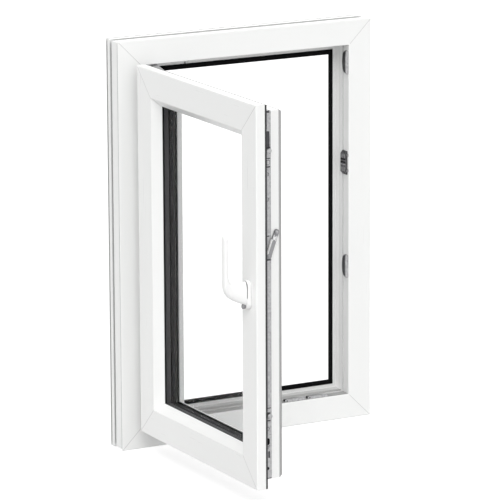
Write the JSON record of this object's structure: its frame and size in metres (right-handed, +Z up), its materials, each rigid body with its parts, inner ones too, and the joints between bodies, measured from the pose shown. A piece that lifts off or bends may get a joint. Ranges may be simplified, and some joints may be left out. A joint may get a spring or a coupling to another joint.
{
  "type": "tilt and turn window",
  "caption": "Tilt and turn window: mitred white frame, glazed sash hung on the left and turned open into the room, with seals, lock hardware and a lever handle.",
  "frame": {"origin": "middle of the flat underside of the frame's bottom rail, between its two edge grooves", "axes": "+Z up, +Y towards outdoors, +X to the right as seen from the room; the sash opens towards -Y"},
  "size_m": [0.7656, 0.73, 1.08],
  "materials": {
    "white_pvc": "smooth white extruded PVC",
    "black_seal": "matt black rubber",
    "clear_glass": "clear float glass",
    "black_spacer": "black warm-edge spacer",
    "white_handle": "white powder coat",
    "plated_steel": "silver plated steel"
  },
  "bodies": {
    "root": {"bottom_cam": "plated_steel", "bottom_corner_drive": "plated_steel", "bottom_faceplate": "plated_steel", "bottom_hinge_link": "plated_steel", "bottom_hinge_plate": "plated_steel", "bottom_hinge_shoe": "plated_steel", "bottom_keep": "plated_steel", "espagnolette_faceplate": "plated_steel", "fail_safe_lever": "plated_steel", "frame_bottom_rail": "white_pvc", "frame_hinge_jamb": "white_pvc", "frame_lock_jamb": "white_pvc", "frame_seal": "black_seal", "frame_top_rail": "white_pvc", "glazing_bead_bottom": "white_pvc", "glazing_bead_hinge_side": "white_pvc", "glazing_bead_lock_side": "white_pvc", "glazing_bead_top": "white_pvc", "handle_lever": "white_handle", "handle_rosette": "white_handle", "inner_glazing_gasket": "black_seal", "inner_pane": "clear_glass", "inner_spacer": "black_spacer", "lower_cam": "plated_steel", "lower_keep": "plated_steel", "middle_pane": "clear_glass", "outer_glazing_gasket": "black_seal", "outer_pane": "clear_glass", "outer_spacer": "black_spacer", "run_up_plate": "plated_steel", "sash_bottom_rail": "white_pvc", "sash_hinge_stile": "white_pvc", "sash_lock_stile": "white_pvc", "sash_seal": "black_seal", "sash_top_rail": "white_pvc", "tilt_keep": "plated_steel", "top_cam": "plated_steel", "top_corner_drive": "plated_steel", "top_faceplate": "plated_steel", "top_hinge_link": "plated_steel", "top_hinge_plate": "plated_steel", "top_hinge_shoe": "plated_steel", "upper_cam": "plated_steel", "upper_keep": "plated_steel"}
  },
  "joints": []
}
